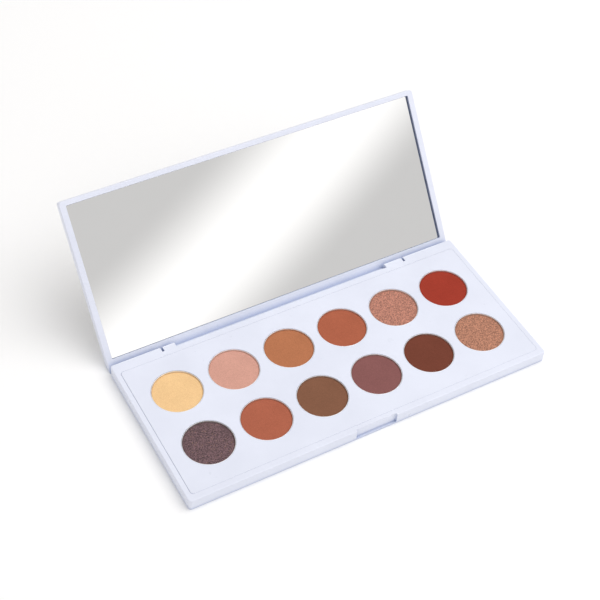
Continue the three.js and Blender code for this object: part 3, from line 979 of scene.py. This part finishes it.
base_tray(plastic)
insert_plate(plastic)
for number, (slot, colour, look) in zip(NUMBERS, SHADES):
    powder_low, powder_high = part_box(f"powder_{number}")
    powder_radius = (powder_high.x - powder_low.x) / 2
    shade = POWDER_LOOKS[look](slot, linear(*colour), powder_radius)
    glue_dot(number, glue_material)
    pan(number, metal)
    powder(number, shade)
hinge_pin(LEFT_END, steel)
hinge_pin(RIGHT_END, steel)

lid_shell(plastic)
mirror_sheet()
card_sheet()
window_sheet()
mirror_tape()

# ------------------------------------------------------------------ stage, light and camera


def stage():
    """A pale floor under the case."""
    n = Nodes("floor")
    n.link(n.mix(n.noise(3, 2), (0.9, 0.9, 0.9), (0.93, 0.93, 0.93)), "Base Color")
    n.set(Roughness=0.9, Specular_IOR_Level=0.1, Emission_Color=(1, 1, 1, 1), Emission_Strength=0.08)
    bm = bmesh.new()
    bmesh.ops.create_grid(bm, x_segments=1, y_segments=1, size=6)
    floor = new_piece("floor", bm)
    floor.data.materials.append(n.material)


def area_light(name, place, aim, size, power):
    light = bpy.data.lights.new(name, "AREA")
    light.shape = "RECTANGLE"
    light.size, light.size_y = size
    light.energy = power
    lamp = bpy.data.objects.new(name, light)
    lamp.location = place
    lamp.rotation_euler = (Vector(aim) - Vector(place)).to_track_quat("-Z", "Y").to_euler()
    bpy.context.scene.collection.objects.link(lamp)


# A soft bright band in the surroundings: how far a direction leans along BAND_NORMAL tells
# whether it is in the band.
BAND_NORMAL = (0.21, 0.25, -0.95)
BAND_MIDDLE = -0.508
BAND_HALF_WIDTH = 0.006
BAND_SOFTNESS = 0.046
SURROUNDINGS = (1, 0.985, 0.975)
DIM = 0.66
BRIGHT = 1.2


def surroundings():
    """An even pale studio with one soft bright band, which the mirror catches."""
    world = bpy.data.worlds.new("studio")
    bpy.context.scene.world = world
    world.use_nodes = True
    nodes = world.node_tree.nodes
    links = world.node_tree.links
    lean = nodes.new("ShaderNodeVectorMath")
    lean.operation = "DOT_PRODUCT"
    lean.inputs[1].default_value = BAND_NORMAL
    links.new(nodes.new("ShaderNodeTexCoord").outputs["Generated"], lean.inputs[0])
    offset = nodes.new("ShaderNodeMath")
    offset.operation = "SUBTRACT"
    links.new(lean.outputs["Value"], offset.inputs[0])
    offset.inputs[1].default_value = BAND_MIDDLE
    away = nodes.new("ShaderNodeMath")
    away.operation = "ABSOLUTE"
    links.new(offset.outputs[0], away.inputs[0])
    strength = nodes.new("ShaderNodeMapRange")
    strength.interpolation_type = "SMOOTHSTEP"
    links.new(away.outputs[0], strength.inputs["Value"])
    strength.inputs["From Min"].default_value = BAND_HALF_WIDTH
    strength.inputs["From Max"].default_value = BAND_HALF_WIDTH + BAND_SOFTNESS
    strength.inputs["To Min"].default_value = BRIGHT
    strength.inputs["To Max"].default_value = DIM
    background = nodes["Background"]
    background.inputs["Color"].default_value = (*SURROUNDINGS, 1)
    links.new(strength.outputs["Result"], background.inputs["Strength"])


def lighting():
    surroundings()
    area_light("key", (0.6, -0.32, 1.32), (0, 0, 0), (1.4, 1.4), 12)


def camera():
    """Looks down on the case from its front left corner."""
    azimuth = math.radians(-32.48)
    elevation = math.radians(47.74)
    roll = math.radians(4.67)
    distance = 0.7176
    aim = Vector((0.0086, 0.0475, 0))
    back = Vector((
        math.sin(azimuth) * math.cos(elevation),
        -math.cos(azimuth) * math.cos(elevation),
        math.sin(elevation),
    ))
    data = bpy.data.cameras.new("camera")
    data.sensor_width = 36
    data.lens = 80.76
    data.clip_start = 0.01
    data.clip_end = 20
    eye = bpy.data.objects.new("camera", data)
    eye.location = aim + back * distance
    eye.rotation_mode = "QUATERNION"
    level = (-back).to_track_quat("-Z", "Y")
    eye.rotation_quaternion = level @ Matrix.Rotation(roll, 3, "Z").to_quaternion()
    bpy.context.scene.collection.objects.link(eye)
    bpy.context.scene.camera = eye


stage()
lighting()
camera()
bpy.context.scene.view_settings.view_transform = "Standard"
